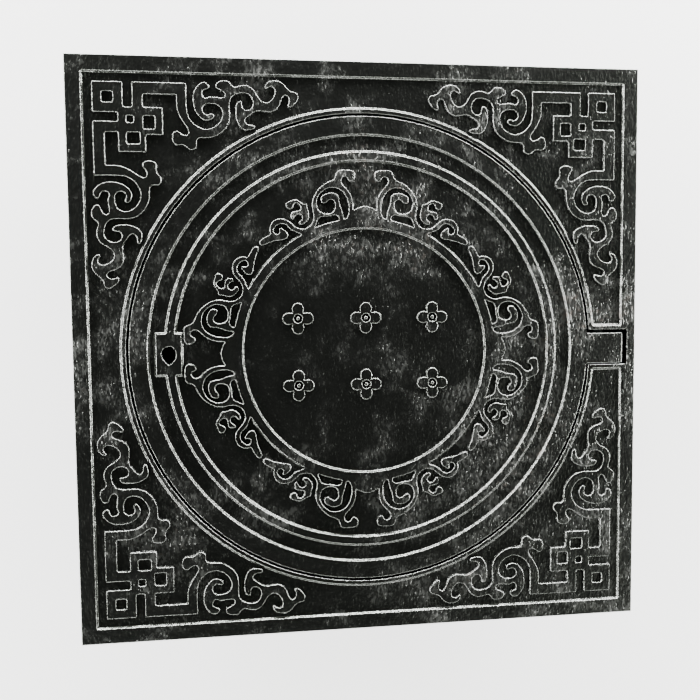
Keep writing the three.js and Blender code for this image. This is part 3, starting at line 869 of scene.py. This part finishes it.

# ---- Turn latch ----
# The latch is a small painted casting. Its flange is slotted for the key, and its arm swings out
# under the ledge of the frame.
# The latch takes the matt paint all over, whose darker colour is painted shade.
latch_casting = finish_copy("turn_latch", "latch_casting", shaded_matt_paint, 0.7 * MM)
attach(latch_casting, "latch")

# ---- Latch strap, spring and stop pin ----
# A zinc-coated strap carries the latch, with a coned spring washer on it. A hard steel pin in the
# cover stops the latch after a quarter turn.


def spring_finish():
    """Dark hardened steel with a film of oil."""
    steel = Finish("spring_steel")
    oil = steel.noise(0.006, detail=3.0)
    return steel.surface(
        Base_Color=steel.blend(oil, rgb(0.05, 0.05, 0.056), rgb(0.09, 0.09, 0.096)),
        Metallic=1.0, Roughness=0.28 + oil * 0.2)


spring_steel = spring_finish()
for node, name, material, slot_name, rounding in (
        ("latch_retainer", "latch_strap", galvanised_steel, "galvanised_steel", 0.6 * MM),
        ("latch_spring", "latch_cone_washer", spring_steel, "spring_steel", 0.2 * MM),
        ("latch_stop_pin", "latch_stop", spring_steel, "spring_steel", 0.4 * MM)):
    piece = finish_copy(node, name, material, rounding)
    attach(piece, "lid")

# ---- Latch bolts and spring washers ----
# Two hexagon bolts hold the strap, each with a split spring washer under its head.
HEAD_CHAMFER = math.radians(30)
HEAD_HEIGHT = 5.3 * MM
HEAD_FACE = 0.93  # radius of the head's round end, as a share of half its width over the flats
HEAD_STEPS = 72
HEAD_CORNER = 0.4 * MM
SHANK_RADIUS = 4.0 * MM
SHANK_TAPER = 0.6 * MM
WASHER_BAND = 3.1 * MM
WASHER_FLAT = 0.82  # thickness of the wire, as a share of the washer's whole height
WASHER_SLIT = 12  # degrees
WASHER_STEPS = 40


def spring_washer(node, name):
    """A ring of square wire, cut through once, whose ends stand a little apart."""
    low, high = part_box(node)
    centre = (low + high) / 2
    outer = (high.x - low.x) / 2
    inner = outer - WASHER_BAND
    thick = (high.z - low.z) * WASHER_FLAT
    rise = (high.z - low.z) - thick
    shape = bmesh.new()
    sections = []
    for i in range(WASHER_STEPS + 1):
        angle = math.radians(WASHER_SLIT / 2 + (360 - WASHER_SLIT) * i / WASHER_STEPS)
        base = low.z + rise * i / WASHER_STEPS
        section = []
        for radius, up in ((inner, 0), (outer, 0), (outer, thick), (inner, thick)):
            section.append(shape.verts.new((centre.x + radius * math.cos(angle),
                                            centre.y + radius * math.sin(angle), base + up)))
        sections.append(section)
    for a, b in zip(sections, sections[1:]):
        for j in range(4):
            shape.faces.new((a[j], b[j], b[(j + 1) % 4], a[(j + 1) % 4]))
    shape.faces.new(sections[0])
    shape.faces.new(sections[-1][::-1])
    bmesh.ops.recalc_face_normals(shape, faces=shape.faces)
    mesh = bpy.data.meshes.new(name)
    shape.to_mesh(mesh)
    shape.free()
    mesh.materials.append(galvanised_steel)
    piece = link(name, mesh)
    bevel = piece.modifiers.new("soft_edges", "BEVEL")
    bevel.width = 0.2 * MM
    bevel.segments = 2
    bevel.limit_method = "ANGLE"
    bevel.angle_limit = EDGE_ANGLE
    weigh_normals(piece)
    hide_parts(node)
    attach(piece, "lid")


def hexagon_bolt(node, name):
    """A bolt with a hexagon head below, chamfered all round, and a plain shank above."""
    low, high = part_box(node)
    centre = (low + high) / 2
    flat = min(high.x - low.x, high.y - low.y) / 2
    face = flat * HEAD_FACE
    seat = low.z + HEAD_HEIGHT
    shape = bmesh.new()
    rows = []
    for i in range(HEAD_STEPS):
        angle = 2 * math.pi * i / HEAD_STEPS
        corner = flat / math.cos((angle + math.pi / 6) % (math.pi / 3) - math.pi / 6)
        drop = (corner - face) * math.tan(HEAD_CHAMFER)
        profile = [(0, low.z), (face, low.z), (corner, low.z + drop), (corner, seat - HEAD_CORNER),
                   (corner * 0.97, seat), (SHANK_RADIUS, seat), (SHANK_RADIUS, high.z - SHANK_TAPER),
                   (SHANK_RADIUS - SHANK_TAPER, high.z), (0, high.z)]
        east, north = math.cos(angle), math.sin(angle)
        rows.append([shape.verts.new((centre.x + radius * east, centre.y + radius * north, z))
                     for radius, z in profile])
    for row, following in zip(rows, rows[1:] + rows[:1]):
        for j in range(len(row) - 1):
            shape.faces.new((row[j], following[j], following[j + 1], row[j + 1]))
    bmesh.ops.remove_doubles(shape, verts=shape.verts, dist=0.001 * MM)
    bmesh.ops.recalc_face_normals(shape, faces=shape.faces)
    mesh = bpy.data.meshes.new(name)
    shape.to_mesh(mesh)
    shape.free()
    mesh.materials.append(galvanised_steel)
    piece = link(name, mesh)
    for polygon in mesh.polygons:
        polygon.use_smooth = False
    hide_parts(node)
    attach(piece, "lid")


for end in ("front", "rear"):
    spring_washer("latch_washer_" + end, "split_washer_" + end)
    hexagon_bolt("latch_bolt_" + end, "hexagon_bolt_" + end)
